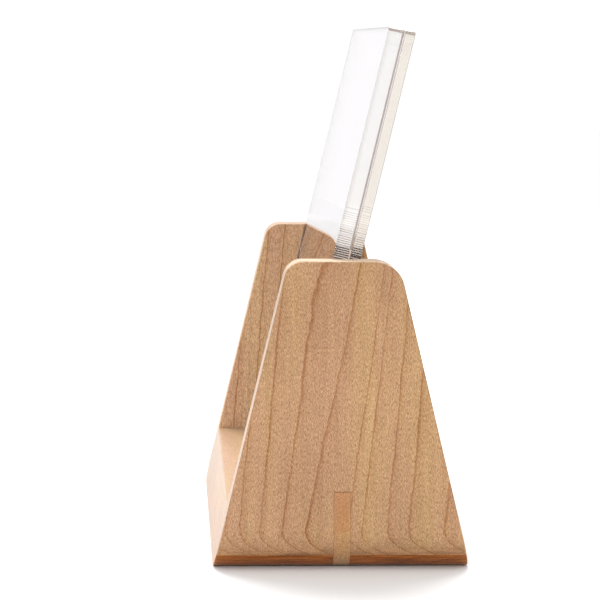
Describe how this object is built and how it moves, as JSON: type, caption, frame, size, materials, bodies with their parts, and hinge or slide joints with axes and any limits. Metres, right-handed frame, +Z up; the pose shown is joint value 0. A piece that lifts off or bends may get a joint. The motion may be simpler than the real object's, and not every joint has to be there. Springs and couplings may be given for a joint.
{
  "type": "pick holder",
  "caption": "Mitred wooden cradle with keyed corners, holding clear upright sheets that lean back together in a slanted groove.",
  "frame": {"origin": "centre of the underside", "axes": "+X along the holder towards its right end panel, -Y its front, +Z up"},
  "size_m": [0.13, 0.05, 0.1049],
  "materials": {
    "cradle_wood": "oiled, satin",
    "key_wood": "oiled, satin",
    "clear_acrylic": "clear, laser-cut edges"
  },
  "bodies": {
    "cradle": {"base_board": "cradle_wood", "right_end_panel": "cradle_wood", "left_end_panel": "cradle_wood", "right_corner_key": "key_wood", "left_corner_key": "key_wood"},
    "front_sheet": {"front_sheet": "clear_acrylic"},
    "rear_sheet": {"rear_sheet": "clear_acrylic"}
  },
  "joints": [
    {"name": "front_sheet_lift", "type": "slide", "parent": "cradle", "child": "front_sheet", "axis": [0, 0.2326, 0.9726], "range_m": [0, 0.105]},
    {"name": "rear_sheet_lift", "type": "slide", "parent": "cradle", "child": "rear_sheet", "axis": [0, 0.2326, 0.9726], "range_m": [0, 0.105]}
  ]
}
